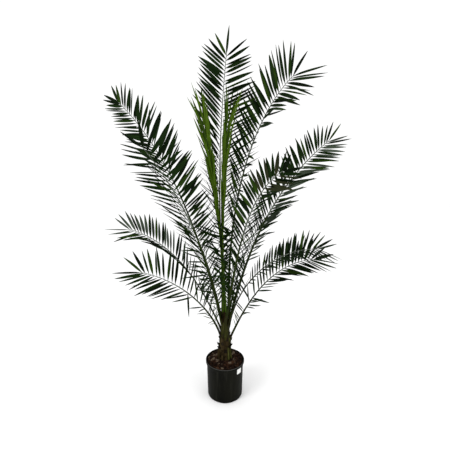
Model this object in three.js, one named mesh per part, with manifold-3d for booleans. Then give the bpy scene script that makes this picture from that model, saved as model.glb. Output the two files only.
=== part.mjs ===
import * as THREE from 'three';
import { mergeVertices } from 'three/addons/utils/BufferGeometryUtils.js';
import Module from 'manifold-3d';

// A young date palm in a nursery pot. Millimetres, +Z up, origin at the middle of the pot's flat
// underside. A body of revolution is made upright along Y by LatheGeometry and stood up on +Z.

const wasm = await Module();
wasm.setup();

const CLEAR = 0.3; // gap between neighbouring parts
const ROUND_SIDES = 48;

// Pot: a thin tapered wall, a rolled lip and drain slots through the foot of the wall.
const POT_HEIGHT = 252;
const POT_TOP_RADIUS = 120;
const POT_BASE_RADIUS = 115;
const POT_WALL = 2.4;
const POT_FLOOR = 3;
const POT_FOOT_CURVE = 9;
const LIP_RADIUS = 127;
const LIP_DEPTH = 15;
const LIP_WALL = 2.6;
const DRAIN_COUNT = 6;
const DRAIN_WIDTH = 26;
const DRAIN_HEIGHT = 12;
const DRAIN_FIRST = 238; // heading of the first slot, in degrees

// Soil: fills the pot and rises a little round the trunk.
const SOIL_EDGE = 240;
const SOIL_MOUND = 262;
const SOIL_SIDES = 32;
const SOIL_RINGS = 5;
const SOIL_BUMP = 5;

// Trunk: from its flat cut on the soil to its tip among the youngest stems, as [height, radius].
const TRUNK_Y = 12;
const TRUNK_FOOT = SOIL_MOUND + CLEAR;
const TRUNK_TOP = 585;
const TRUNK_SIDES = 18;
const TRUNK_PROFILE = [
  [TRUNK_FOOT, 46],
  [275, 41],
  [300, 37],
  [345, 33],
  [386, 30],
  [415, 27],
  [440, 23],
  [470, 19],
  [500, 16],
  [540, 13],
  [TRUNK_TOP, 11],
];

// Old leaf bases, cut short, in a spiral up the lower trunk.
const STUB_COUNT = 14;
const STUB_FIRST = 284;
const STUB_RISE = 10;
const STUB_TURN = 137.5;
const STUB_LENGTH = 38;
const STUB_WIDTH = 30;
const STUB_THICK = 12;

// Tag: a blank label that lies on the wall under the lip.
const TAG_HEADING = -41;
const TAG_WIDTH = 38;
const TAG_HEIGHT = 36;
const TAG_THICK = 0.8;
const TAG_BELOW_LIP = 3;

// Frond parts. Leaflets are of eight faces, and fewer and wider than the real ones.
const RIB_SIDES = 6;
const RIB_STEPS = 16;
const RIB_WIDTH = 17;
const RIB_TIP_WIDTH = 5;
const RIB_FLATNESS = 0.75;
const LEAF_MERGE = 1.53; // how many of the real leaflets one stands for
const LEAF_WIDTH = 25;
const LEAF_THICK = 3.2;
const LEAF_WIDEST = 0.3; // where a leaflet is widest, as a share of its length
const LEAF_WANDER = 5; // degrees either way in how far one opens
const LEAF_TRIM = [0.9, 1.06]; // shortest and longest beside the rule's length
const FAN_REACH = 50; // how far from the rib's tip its leaflets close in on it
const FAN_CLOSING = 0.75; // and by what share
const CROWDING = 0.12; // how much closer the leaflets stand towards the rib's tip than at its foot
const BLADE_END = 0.995;
const LEAF_FROM_CUT = 7; // how far a leaflet's root stays from the cut end of a rib
const SPINE_STEP = 75;
const SPINE_WIDTH = 7;
const SPINE_LENGTHS = [70, 170]; // from the lowest spine to the highest
const SPINE_OPENINGS = [38, 58];
// What is tried in turn until a leaflet is clear: a share of its length and degrees more of fold.
const LEAF_TRIES = [[1, 0], [1, 14], [1, -14], [0.85, 26], [0.85, -26], [0.65, 0], [0.5, 20]];

// Every frond: foot is [heading, height] on the trunk, and heading is the way it grows. It leans from
// upright by lean, and by lean + arch at its tip; bend sets how late it arches. roll is how far the
// blade is turned about its rib at its foot and its tip, fold lifts its two rows of leaflets into a V,
// and bare is the share of the rib with spines only; an arching frond is cut in two at split. open is
// how far the leaflets turn from the rib at the foot and the tip of the blade; skew, at the same two
// places, is added on one side and taken off on the other. step is from one real leaflet to the next on
// its side, leaf is the longest one and tip how long the last ones are beside it. fan is for a frond whose
// last leaflets do not close in on the rib as the others' do.
const FRONDS = [
  {
    foot: [180, 432], heading: 171, lean: 20, arch: 63, bend: 0.88, length: 690,
    roll: [-50, -45], fold: 10, bare: 0.4, split: 0.5, open: [60, 60], skew: [-8, -8],
    step: 36, leaf: 225, tip: 0.85,
  },
  {
    foot: [0, 408], heading: 14, lean: 26, arch: 69, bend: 1.86, length: 800,
    roll: [40, 40], fold: 20, bare: 0.42, split: 0.5, open: [45, 65], skew: [0, 0],
    step: 34, leaf: 180, tip: 1,
  },
  {
    foot: [158, 462], heading: 167, lean: 25, arch: 56, bend: 1.85, length: 930,
    roll: [-11, -40], fold: 19, bare: 0.36, split: 0.48, open: [27, 66], skew: [-24, 12],
    step: 30, leaf: 216, tip: 0.76,
  },
  {
    foot: [118, 470], heading: 118, lean: 24, arch: 50, bend: 1.2, length: 800,
    roll: [0, 0], fold: 26, bare: 0.36, split: 0.46, open: [42, 62], skew: [0, 0],
    step: 32, leaf: 200, tip: 0.8,
  },
  {
    foot: [62, 480], heading: 62, lean: 22, arch: 50, bend: 1.2, length: 840,
    roll: [0, 0], fold: 26, bare: 0.36, split: 0.46, open: [42, 62], skew: [0, 0],
    step: 32, leaf: 205, tip: 0.8,
  },
  {
    foot: [10, 480], heading: 12, lean: 10, arch: 87, bend: 1.12, length: 855,
    roll: [5, 31], fold: 14, bare: 0.36, split: 0.46, open: [60, 77], skew: [-10, -10],
    step: 28, leaf: 160, tip: 1.2,
  },
  {
    foot: [205, 505], heading: 206, lean: 10, arch: 28, bend: 1.3, length: 1244,
    roll: [-112, -101], fold: 5, bare: 0.3, split: 0.46, open: [30, 73], skew: [-12, -12],
    step: 36, leaf: 220, tip: 0.71,
  },
  {
    foot: [-38, 505], heading: 11, lean: 14, arch: 39, bend: 1.7, length: 1354,
    roll: [10, 55], fold: 6, bare: 0.32, split: 0.46, open: [60, 59], skew: [0, 0],
    step: 26, leaf: 272, tip: 0.53,
  },
  {
    foot: [170, 530], heading: 153, lean: 16.5, arch: 35.4, bend: 1.79, length: 1620,
    roll: [-98, -90], fold: 5, bare: 0.3, split: 0.46, open: [50, 57], skew: [-26, -8],
    step: 36, leaf: 304, tip: 0.49,
  },
  {
    foot: [-80, 528], heading: -55, lean: 13.7, arch: 49.5, bend: 3.15, length: 1145,
    roll: [-6, -56], fold: 24, bare: 0.34, split: 0.46, open: [45, 71], skew: [14, 14],
    step: 30, leaf: 185, tip: 0.65,
  },
  {
    foot: [135, 552], heading: 92, lean: 14, arch: 50, bend: 1.8, length: 1250,
    roll: [0, 0], fold: 20, bare: 0.36, split: 0.46, open: [40, 64], skew: [0, 0],
    step: 28, leaf: 235, tip: 0.7,
  },
  {
    foot: [12, 556], heading: 42, lean: 0, arch: 55.3, bend: 1.63, length: 1717,
    roll: [-7, 46], fold: 36, bare: 0.34, split: 0.46, open: [57, 90], skew: [-28, -28],
    step: 30, leaf: 245, tip: 1.13,
  },
  {
    foot: [72, 577], heading: 168, lean: 5.8, arch: -11.9, bend: 1.03, length: 1572,
    roll: [-85, -88], fold: 3, bare: 0.34, split: 0, open: [32, 62], skew: [-20, -2],
    step: 26, leaf: 310, tip: 0.5, fan: [20, 0.45], single: true,
  },
];
const TURN_FROM = 0.45; // the share of the blade from which it turns from its first roll to its last

// The two youngest fronds stand on the trunk's tip, offset from its middle, with their leaflets still
// held close to the rib.
const YOUNG_FRONDS = [
  { offset: [-10, -2], heading: 182, lean: 0, arch: 9.7, bend: 0.83, length: 1200 },
  { offset: [8, -8], heading: 190, lean: 4, arch: -9, bend: 1.1, length: 1200 },
];
const YOUNG_BLADE = { roll: [-70, -70], fold: 0, bare: 0.42, split: 0 };
const YOUNG_STEM = 0.75; // how thick its rib is beside an older one
const YOUNG_OPENING = 8;
const YOUNG_LEAF_WIDTH = 18;
const YOUNG_LEAF_LENGTH = 250;
const YOUNG_LEAF_STEP = 80;

const radians = THREE.MathUtils.degToRad;
const mix = THREE.MathUtils.lerp;

const colours = {
  pot: { color: 0x24241f, roughness: 0.55, metalness: 0 },
  soil: { color: 0x2a1c16, roughness: 1, metalness: 0 },
  trunk: { color: 0x4a3a22, roughness: 0.95, metalness: 0 },
  tag: { color: 0xd8d8d4, roughness: 0.5, metalness: 0 },
  frond: { color: 0x2f4a22, roughness: 0.6, metalness: 0 },
  young: { color: 0x5f7d1c, roughness: 0.55, metalness: 0 },
};

// Repeatable numbers from 0 to 1.
function randomFrom(seed) {
  let state = seed;
  return () => {
    state = (state * 1664525 + 1013904223) % 4294967296;
    return state / 4294967296;
  };
}

// Solids

function solidOf(geometry) {
  geometry.deleteAttribute('normal');
  geometry.deleteAttribute('uv');
  const merged = mergeVertices(geometry, 1e-3);
  return solidFrom(Array.from(merged.attributes.position.array), Array.from(merged.index.array));
}

function solidFrom(numbers, triangles) {
  const vertProperties = new Float32Array(numbers);
  const triVerts = new Uint32Array(triangles);
  return new wasm.Manifold(new wasm.Mesh({ numProp: 3, vertProperties, triVerts }));
}

function meshOf(name, solid, look) {
  const result = solid.getMesh();
  const geometry = new THREE.BufferGeometry();
  geometry.setAttribute('position', new THREE.BufferAttribute(result.vertProperties, 3));
  geometry.setIndex(new THREE.BufferAttribute(result.triVerts, 1));
  geometry.computeVertexNormals();
  const mesh = new THREE.Mesh(geometry, new THREE.MeshStandardMaterial(look));
  mesh.name = name;
  return mesh;
}

function turned(profile, sides) {
  const points = profile.map(([height, radius]) => new THREE.Vector2(radius, height));
  return solidOf(new THREE.LatheGeometry(points, sides).rotateX(Math.PI / 2));
}

function boxAt(width, depth, height, place) {
  return solidOf(new THREE.BoxGeometry(width, depth, height).applyMatrix4(place));
}

// A place on the circle of this heading: out along the radius, up by height, and turned to face out.
function facing(heading, radius, height) {
  const place = new THREE.Matrix4().makeRotationZ(radians(heading));
  return place.multiply(new THREE.Matrix4().makeTranslation(radius, 0, height));
}

// Pot

function makePot() {
  const lipFoot = POT_HEIGHT - LIP_DEPTH;
  const outer = [
    [0, 0],
    [0, POT_BASE_RADIUS - POT_FOOT_CURVE],
    [POT_FOOT_CURVE * 0.3, POT_BASE_RADIUS - POT_FOOT_CURVE * 0.3],
    [POT_FOOT_CURVE, POT_BASE_RADIUS],
    [lipFoot, POT_TOP_RADIUS],
    [lipFoot, LIP_RADIUS - 1],
    [lipFoot + 2, LIP_RADIUS],
    [POT_HEIGHT - 2, LIP_RADIUS],
    [POT_HEIGHT, LIP_RADIUS - 2],
  ];
  const inner = [
    [POT_HEIGHT, LIP_RADIUS - LIP_WALL - 2],
    [POT_HEIGHT - 3, LIP_RADIUS - LIP_WALL - 3],
    [lipFoot - 2, POT_TOP_RADIUS - POT_WALL],
    [POT_FOOT_CURVE + POT_FLOOR, POT_BASE_RADIUS - POT_WALL],
    [POT_FLOOR, POT_BASE_RADIUS - POT_FOOT_CURVE],
    [POT_FLOOR, 0],
  ];
  let pot = turned([...outer, ...inner], ROUND_SIDES);
  for (let i = 0; i < DRAIN_COUNT; i++) {
    const place = facing(DRAIN_FIRST + (i * 360) / DRAIN_COUNT, POT_BASE_RADIUS, DRAIN_HEIGHT / 2);
    pot = pot.subtract(boxAt(22, DRAIN_WIDTH, DRAIN_HEIGHT + 2, place));
  }
  return pot;
}

// Soil: closed rings of points, level under the trunk and bumpy from there to the wall.

function soilRadius(height) {
  const foot = POT_FLOOR + CLEAR;
  const rise = (height - foot) / (POT_HEIGHT - LIP_DEPTH - foot);
  return mix(POT_BASE_RADIUS - POT_FOOT_CURVE - 1, POT_TOP_RADIUS - POT_WALL - 1.4, rise);
}

function makeSoil() {
  const random = randomFrom(11);
  const foot = POT_FLOOR + CLEAR;
  const numbers = [0, 0, foot];
  const level = TRUNK_PROFILE[0][1] + 3;
  const edge = soilRadius(SOIL_EDGE);
  const rings = [
    { radius: soilRadius(foot), height: foot, bump: 0 },
    { radius: edge, height: SOIL_EDGE, bump: 0 },
  ];
  for (let i = 1; i < SOIL_RINGS; i++) {
    const inward = i / SOIL_RINGS;
    const height = mix(SOIL_EDGE, SOIL_MOUND, Math.sin((inward * Math.PI) / 2));
    rings.push({ radius: mix(edge, level, inward), height: height - SOIL_BUMP * 0.6, bump: SOIL_BUMP });
  }
  rings.push({ radius: level, height: SOIL_MOUND, bump: 0 });
  rings.forEach((ring, index) => {
    const across = TRUNK_Y * THREE.MathUtils.clamp((index - 1) / SOIL_RINGS, 0, 1);
    for (let side = 0; side < SOIL_SIDES; side++) {
      const angle = (side / SOIL_SIDES) * Math.PI * 2;
      const height = ring.height + ring.bump * (random() - 0.5);
      numbers.push(ring.radius * Math.cos(angle), across + ring.radius * Math.sin(angle), height);
    }
  });
  numbers.push(0, TRUNK_Y, SOIL_MOUND);
  return solidFrom(numbers, ringFaces(rings.length, SOIL_SIDES));
}

// Faces between rings of points, fanned to a first point before them and a last one after them.
function ringFaces(ringCount, sides) {
  const faces = [];
  const last = 1 + ringCount * sides;
  for (let side = 0; side < sides; side++) {
    const next = (side + 1) % sides;
    faces.push(0, 1 + next, 1 + side);
    for (let ring = 0; ring < ringCount - 1; ring++) {
      const a = 1 + ring * sides + side;
      const b = 1 + ring * sides + next;
      faces.push(a, b, b + sides, a, b + sides, a + sides);
    }
    faces.push(last, last - sides + side, last - sides + next);
  }
  return faces;
}

// Trunk

function trunkRadius(height) {
  const above = TRUNK_PROFILE.findIndex(([top]) => top >= height);
  const [highEnd, highRadius] = TRUNK_PROFILE[Math.max(above, 1)];
  const [lowEnd, lowRadius] = TRUNK_PROFILE[Math.max(above, 1) - 1];
  return mix(lowRadius, highRadius, (height - lowEnd) / (highEnd - lowEnd));
}

function trunkCore(margin) {
  const profile = TRUNK_PROFILE.map(([height, radius]) => [height, radius + margin]);
  profile[0][0] -= margin;
  profile[profile.length - 1][0] += margin;
  const core = turned([[profile[0][0], 0], ...profile, [TRUNK_TOP + margin, 0]], TRUNK_SIDES);
  return core.translate([0, TRUNK_Y, 0]);
}

// A cut leaf base: a flat wedge that rises out of the trunk and ends in a slanted cut. grow swells it.
function makeStub(index, grow) {
  const height = STUB_FIRST + index * STUB_RISE;
  const width = mix(STUB_WIDTH, STUB_WIDTH * 0.7, index / STUB_COUNT) + grow * 2;
  const shape = new THREE.Shape();
  shape.moveTo(-STUB_THICK, -STUB_LENGTH * 0.5 - grow);
  shape.lineTo(1 + grow, -STUB_LENGTH * 0.3 - grow);
  shape.lineTo(STUB_THICK * 0.8 + grow, STUB_LENGTH * 0.42 + grow);
  shape.lineTo(STUB_THICK * 0.25, STUB_LENGTH * 0.55 + grow);
  shape.lineTo(-STUB_THICK, STUB_LENGTH * 0.2 + grow);
  shape.closePath();
  const wedge = new THREE.ExtrudeGeometry(shape, { depth: width, bevelEnabled: false });
  wedge.translate(0, 0, -width / 2).rotateX(Math.PI / 2);
  wedge.applyMatrix4(facing(index * STUB_TURN, trunkRadius(height), height));
  return solidOf(wedge.translate(0, TRUNK_Y, 0));
}

// The trunk with its leaf bases, apart from any that would touch a frond.
function makeTrunk() {
  const stubs = [];
  for (let i = 0; i < STUB_COUNT; i++) {
    if (!meetsAnother('trunk', makeStub(i, CLEAR * 2))) stubs.push(makeStub(i, 0));
  }
  return wasm.Manifold.union([trunkCore(0), ...stubs]);
}

// Tag: a piece of a ring that follows the wall's taper, clear of it by the gap.

function makeTag() {
  const top = POT_HEIGHT - LIP_DEPTH - TAG_BELOW_LIP;
  const wallAt = (height) => {
    const rise = (height - POT_FOOT_CURVE) / (POT_HEIGHT - LIP_DEPTH - POT_FOOT_CURVE);
    return mix(POT_BASE_RADIUS, POT_TOP_RADIUS, rise) + CLEAR;
  };
  const foot = top - TAG_HEIGHT;
  const inside = [[foot, wallAt(foot)], [top, wallAt(top)]];
  const outside = inside.map(([height, radius]) => [height, radius + TAG_THICK]);
  const ring = turned([inside[0], ...outside, inside[1], inside[0]], ROUND_SIDES);
  const place = facing(TAG_HEADING, POT_TOP_RADIUS, top - TAG_HEIGHT / 2);
  return ring.intersect(boxAt(POT_TOP_RADIUS, TAG_WIDTH, TAG_HEIGHT * 2, place));
}

// Fronds

// The rib's line, stepped from the foot by the lean at each step.
function ribLine(frond, foot) {
  const points = [foot];
  const step = frond.length / RIB_STEPS;
  const heading = radians(frond.heading);
  for (let i = 0; i < RIB_STEPS; i++) {
    const along = (i + 0.5) / RIB_STEPS;
    const lean = radians(frond.lean + frond.arch * along ** frond.bend);
    const out = Math.sin(lean) * step;
    const last = points[i];
    const x = last.x + out * Math.cos(heading);
    const y = last.y + out * Math.sin(heading);
    points.push(new THREE.Vector3(x, y, last.z + Math.cos(lean) * step));
  }
  return new THREE.CatmullRomCurve3(points);
}

// The blade's own directions at a share of the rib: along it, across the blade and off its upper face.
function bladeFrame(frond, line, along) {
  const heading = radians(frond.heading);
  const share = (along - frond.bare) / (1 - frond.bare);
  const roll = radians(mix(...frond.roll, THREE.MathUtils.smoothstep(share, TURN_FROM, 1)));
  const forward = line.getTangent(along);
  const level = new THREE.Vector3(-Math.sin(heading), Math.cos(heading), 0);
  const across = level.sub(forward.clone().multiplyScalar(level.dot(forward))).normalize();
  across.applyAxisAngle(forward, roll);
  const off = new THREE.Vector3().crossVectors(forward, across);
  return { origin: line.getPoint(along), forward, across, off };
}

function ribWidth(frond, along) {
  return mix(RIB_WIDTH, RIB_TIP_WIDTH, along) * (frond.young ? YOUNG_STEM : 1);
}

function makeRib(frond, line, from, to) {
  const steps = Math.max(3, Math.round((to - from) * RIB_STEPS));
  const rows = [];
  for (let i = 0; i <= steps; i++) {
    const along = mix(from, to, i / steps);
    const frame = bladeFrame(frond, line, along);
    rows.push({ frame, width: ribWidth(frond, along) / 2 });
  }
  const start = rows[0].frame.origin;
  const end = rows[steps].frame.origin;
  const numbers = [...start.toArray()];
  for (const { frame, width } of rows) {
    for (let side = 0; side < RIB_SIDES; side++) {
      const angle = (side / RIB_SIDES) * Math.PI * 2;
      const point = frame.origin.clone();
      point.addScaledVector(frame.across, Math.cos(angle) * width);
      point.addScaledVector(frame.off, Math.sin(angle) * width * RIB_FLATNESS);
      numbers.push(...point.toArray());
    }
  }
  numbers.push(...end.toArray());
  return solidFrom(numbers, ringFaces(steps + 1, RIB_SIDES));
}

// A leaflet of eight faces: a root, a widest section and a tip. grow swells it by a margin.
function makeLeaf(leaf, grow) {
  const { root, way, flat, length, width } = leaf;
  const face = new THREE.Vector3().crossVectors(way, flat).normalize();
  const middle = root.clone().addScaledVector(way, length * LEAF_WIDEST);
  const half = width / 2 + grow;
  const thick = Math.max(LEAF_THICK, length * 0.012) / 2 + grow;
  const corners = [
    root.clone().addScaledVector(way, -grow),
    middle.clone().addScaledVector(flat, half),
    middle.clone().addScaledVector(face, thick),
    middle.clone().addScaledVector(flat, -half),
    middle.clone().addScaledVector(face, -thick),
    root.clone().addScaledVector(way, length + grow * 2),
  ];
  return solidFrom(corners.flatMap((corner) => corner.toArray()), ringFaces(1, 4));
}

// How long and wide a leaflet is and how far it opens from the rib, by its share of the blade and how
// far it stands from the rib's tip.
function leafShape(frond, share, fromTip) {
  if (frond.young) {
    return { length: YOUNG_LEAF_LENGTH, opening: YOUNG_OPENING, skew: 0, width: YOUNG_LEAF_WIDTH };
  }
  const swell = THREE.MathUtils.smoothstep(share, 0, 0.4);
  const [reach, closing] = frond.fan ?? [FAN_REACH, FAN_CLOSING];
  const closed = 1 - closing * Math.exp(-fromTip / reach);
  return {
    length: frond.leaf * mix(0.6, 1, swell) * mix(1, frond.tip, share ** 2),
    opening: mix(...frond.open, share) * closed,
    skew: mix(...frond.skew, share) * closed,
    width: LEAF_WIDTH * mix(0.4, 1, swell),
  };
}

// Where a leaflet stands on the blade, when they would stand evenly at these shares of it.
const crowded = (share) => share + CROWDING * share * (1 - share);

// Every leaflet and spine of a frond, in pairs; single adds a last one on the rib's tip.
function leafPlaces(frond, random) {
  const places = [];
  const bladeLength = frond.length * (1 - frond.bare);
  const pairs = Math.round(bladeLength / (frond.young ? YOUNG_LEAF_STEP : frond.step * LEAF_MERGE));
  const spines = frond.young ? 0 : Math.round((frond.length * frond.bare) / SPINE_STEP);
  for (let i = 1; i < spines; i++) {
    const share = i / spines;
    const length = mix(...SPINE_LENGTHS, share) * mix(0.85, 1.15, random());
    const opening = mix(...SPINE_OPENINGS, share);
    for (const side of [-1, 1]) {
      places.push({ along: frond.bare * share + side * 0.008, side, length, opening, width: SPINE_WIDTH });
    }
  }
  for (let i = 0; i < pairs; i++) {
    const share = crowded((i + 1) / pairs);
    const { length, width, ...turn } = leafShape(frond, share, bladeLength * (1 - share));
    for (const side of [-1, 1]) {
      const along = mix(frond.bare, BLADE_END, crowded((i + 0.85 + side * 0.12) / pairs));
      const wander = mix(-LEAF_WANDER, LEAF_WANDER, random());
      const trim = mix(...LEAF_TRIM, random());
      const opening = turn.opening + turn.skew * side + wander;
      places.push({ along, side, length: length * trim, opening, width });
    }
  }
  if (frond.single) {
    const length = frond.leaf * frond.tip;
    places.push({ along: BLADE_END, side: 0, length, opening: 0, width: LEAF_WIDTH });
  }
  return places;
}

function leafAt(frond, line, place, lengthScale, foldMore) {
  const frame = bladeFrame(frond, line, place.along);
  const opening = radians(place.opening);
  const fold = radians(frond.fold + foldMore);
  const outward = frame.across.clone().multiplyScalar(place.side * Math.cos(fold));
  outward.addScaledVector(frame.off, Math.sin(fold) * Math.abs(place.side));
  const way = frame.forward.clone().multiplyScalar(Math.cos(opening));
  way.addScaledVector(outward, Math.sin(opening)).normalize();
  const flatFrom = place.side === 0 ? frame.across : frame.forward;
  const flat = flatFrom.clone().addScaledVector(way, -flatFrom.dot(way)).normalize();
  return { root: frame.origin, way, flat, length: place.length * lengthScale, width: place.width };
}

// Solids already placed, each with its own box, so that a new leaflet is tested only where it could meet.
const placed = [];

function boxOf(solid) {
  const { min, max } = solid.boundingBox();
  return new THREE.Box3(new THREE.Vector3(...min), new THREE.Vector3(...max));
}

function keep(node, solid) {
  placed.push({ node, solid, box: boxOf(solid) });
}

function meetsAnother(node, solid) {
  const box = boxOf(solid);
  return placed.some((other) => {
    if (other.node === node || !other.box.intersectsBox(box)) return false;
    return !other.solid.intersect(solid).isEmpty();
  });
}

// The first try that stays clear of every other node, or null.
function clearLeaf(node, frond, line, place) {
  for (const [lengthScale, foldMore] of LEAF_TRIES) {
    const leaf = leafAt(frond, line, place, lengthScale, foldMore);
    if (!meetsAnother(node, makeLeaf(leaf, CLEAR * 2))) return makeLeaf(leaf, 0);
  }
  return null;
}

function footOf(frond) {
  const [heading, height] = frond.foot;
  const reach = trunkRadius(height) + (ribWidth(frond, 0) / 2) * RIB_FLATNESS + CLEAR;
  const angle = radians(heading);
  return new THREE.Vector3(reach * Math.cos(angle), TRUNK_Y + reach * Math.sin(angle), height);
}

// A young frond stands on the trunk's flat tip.
function tipFoot(frond) {
  const [x, y] = frond.offset;
  return new THREE.Vector3(x, TRUNK_Y + y, TRUNK_TOP + CLEAR);
}

// A frond's pieces: one rib, or a lower and an upper one that meet at the split with the gap between.
function frondPieces(frond) {
  const line = ribLine(frond, frond.young ? tipFoot(frond) : footOf(frond));
  if (!frond.split) return [{ node: frond.name, frond, line, from: 0, to: 1 }];
  const gap = CLEAR / frond.length;
  return [
    { node: `${frond.name}_lower`, frond, line, from: 0, to: frond.split },
    { node: `${frond.name}_upper`, frond, line, from: frond.split + gap, to: 1 },
  ];
}

const number = (index) => String(index + 1).padStart(2, '0');
const grown = FRONDS.map((frond, index) => ({ ...frond, name: `frond_${number(index)}` }));
const young = YOUNG_FRONDS.map((frond, index) => ({
  ...frond, ...YOUNG_BLADE, young: true, name: `young_frond_${number(index)}`,
}));
const fronds = [...grown, ...young];
const trunkSpace = trunkCore(CLEAR);

function growFronds() {
  const pieces = fronds.flatMap(frondPieces);
  for (const piece of pieces) {
    piece.rib = makeRib(piece.frond, piece.line, piece.from, piece.to).subtract(trunkSpace);
    keep(piece.node, piece.rib);
  }
  return pieces;
}

function leafFronds(pieces) {
  const random = randomFrom(5);
  for (const frond of fronds) {
    const own = pieces.filter((piece) => piece.frond === frond);
    for (const piece of own) piece.leaves = [];
    for (const place of leafPlaces(frond, random)) {
      const piece = own.find(({ to }) => place.along <= to);
      const sunk = LEAF_FROM_CUT / frond.length;
      place.along = THREE.MathUtils.clamp(place.along, piece.from + sunk, piece.to - sunk);
      const leaf = clearLeaf(piece.node, frond, piece.line, place);
      if (!leaf) continue;
      piece.leaves.push(leaf);
      keep(piece.node, leaf);
    }
  }
}

// Ribs come first, then the trunk between them, then the leaflets that find room.
const pieces = growFronds();
const trunk = makeTrunk();
keep('trunk', trunk);
leafFronds(pieces);

const palm = new THREE.Group();
palm.add(meshOf('pot', makePot(), colours.pot));
palm.add(meshOf('soil', makeSoil(), colours.soil));
palm.add(meshOf('tag', makeTag(), colours.tag));
palm.add(meshOf('trunk', trunk, colours.trunk));
for (const piece of pieces) {
  const blade = wasm.Manifold.union([piece.rib, ...piece.leaves]);
  palm.add(meshOf(piece.node, blade, piece.frond.young ? colours.young : colours.frond));
}

export default palm;
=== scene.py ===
import math
import random

import bmesh
import bpy
from mathutils import Matrix, Vector, noise


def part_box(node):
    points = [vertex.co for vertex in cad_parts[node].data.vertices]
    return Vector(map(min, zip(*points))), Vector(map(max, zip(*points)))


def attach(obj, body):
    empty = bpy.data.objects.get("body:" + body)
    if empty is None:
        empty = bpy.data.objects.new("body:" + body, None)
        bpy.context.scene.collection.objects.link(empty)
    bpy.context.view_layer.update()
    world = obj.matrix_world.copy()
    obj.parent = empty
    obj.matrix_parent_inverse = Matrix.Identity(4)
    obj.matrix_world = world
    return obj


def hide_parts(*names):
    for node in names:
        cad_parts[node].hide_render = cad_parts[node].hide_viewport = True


# A young date palm in a nursery pot. Metres, +Z up, the pot's underside on the floor.

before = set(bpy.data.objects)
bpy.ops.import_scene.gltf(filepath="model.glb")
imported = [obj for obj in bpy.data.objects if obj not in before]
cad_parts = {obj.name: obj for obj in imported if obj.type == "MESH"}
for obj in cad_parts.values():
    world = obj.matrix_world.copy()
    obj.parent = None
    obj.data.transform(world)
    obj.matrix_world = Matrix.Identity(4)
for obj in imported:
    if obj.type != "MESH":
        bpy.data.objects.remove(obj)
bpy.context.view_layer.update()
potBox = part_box("pot")
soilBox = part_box("soil")
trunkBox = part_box("trunk")
print("frame loaded:", len(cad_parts), "CAD nodes")


# small helpers

def mix(a, b, share):
    return a + (b - a) * share


def ease(share, start=0.0, end=1.0):
    t = min(1.0, max(0.0, (share - start) / (end - start)))
    return t * t * (3 - 2 * t)


def spread(rng, reach):
    return rng.uniform(-reach, reach)


def turned(heading, radius, height, centreY=0.0):
    # the point at a heading and a radius round an upright axis
    a = math.radians(heading)
    return Vector((radius * math.cos(a), centreY + radius * math.sin(a), height))


def outward(heading):
    # the level directions away from the axis and along the circle round it
    out = Vector((math.cos(math.radians(heading)), math.sin(math.radians(heading)), 0))
    return out, Vector((-out.y, out.x, 0))


def circle(radius, height, sides):
    angles = [2 * math.pi * j / sides for j in range(sides)]
    return [Vector((radius * math.cos(angle), radius * math.sin(angle), height)) for angle in angles]


class Builder:
    # gathers points, each with two values, and faces, each with the number of its material
    def __init__(self):
        self.points, self.faces, self.slots = [], [], []
        self.values = {"along": [], "across": []}

    def point(self, place, along=0.0, across=0.0):
        self.points.append(place)
        self.values["along"].append(along)
        self.values["across"].append(across)
        return len(self.points) - 1

    def face(self, corners, slot=0):
        self.faces.append(corners)
        self.slots.append(slot)

    def make(self, name, materials, smooth=True):
        mesh = bpy.data.meshes.new(name)
        mesh.from_pydata(self.points, [], self.faces)
        for material in materials:
            mesh.materials.append(material)
        mesh.polygons.foreach_set("material_index", self.slots)
        mesh.polygons.foreach_set("use_smooth", [smooth] * len(self.faces))
        for valueName, numbers in self.values.items():
            attribute = mesh.attributes.new(valueName, "FLOAT", "POINT")
            attribute.data.foreach_set("value", numbers)
        mesh.validate()
        mesh.update()
        piece = bpy.data.objects.new(name, mesh)
        bpy.context.scene.collection.objects.link(piece)
        return piece


def addTube(builder, rows, slotOf=None):
    # a closed tube through rows of equal rings, [(ring, along), ...]
    rings, slot = [], 0
    for ring, along in rows:
        rings.append([builder.point(place, along, i / len(ring)) for i, place in enumerate(ring)])
    for lower, upper, row in zip(rings, rings[1:], rows):
        if slotOf:
            slot = slotOf(row[1])
        for i in range(len(lower)):
            j = (i + 1) % len(lower)
            builder.face((lower[i], lower[j], upper[j], upper[i]), slot)
    builder.face(tuple(reversed(rings[0])), slot)
    builder.face(tuple(rings[-1]), slot)


def weld(piece):
    # joins the points that meet and turns every face outward
    mesh = bmesh.new()
    mesh.from_mesh(piece.data)
    bmesh.ops.remove_doubles(mesh, verts=mesh.verts, dist=1e-5)
    bmesh.ops.recalc_face_normals(mesh, faces=mesh.faces)
    mesh.to_mesh(piece.data)
    mesh.free()
    return piece


# materials

def startMaterial(name):
    material = bpy.data.materials.new(name)
    material.use_nodes = True
    return material, material.node_tree


def addNode(tree, kind, inputs=None, **settings):
    node = tree.nodes.new(kind)
    for key, value in settings.items():
        setattr(node, key, value)
    for key, value in (inputs or {}).items():
        node.inputs[key].default_value = value
    return node


def readValue(tree, name):
    return addNode(tree, "ShaderNodeAttribute", attribute_name=name).outputs["Fac"]


def noiseOf(tree, scale, detail=4.0, stretch=(1, 1, 1), roughness=0.55):
    place = addNode(tree, "ShaderNodeTexCoord").outputs["Object"]
    mapping = addNode(tree, "ShaderNodeMapping", {"Scale": stretch})
    texture = addNode(tree, "ShaderNodeTexNoise", {
        "Scale": scale, "Detail": detail, "Roughness": roughness})
    tree.links.new(place, mapping.inputs["Vector"])
    tree.links.new(mapping.outputs["Vector"], texture.inputs["Vector"])
    return texture.outputs["Fac"]


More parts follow.
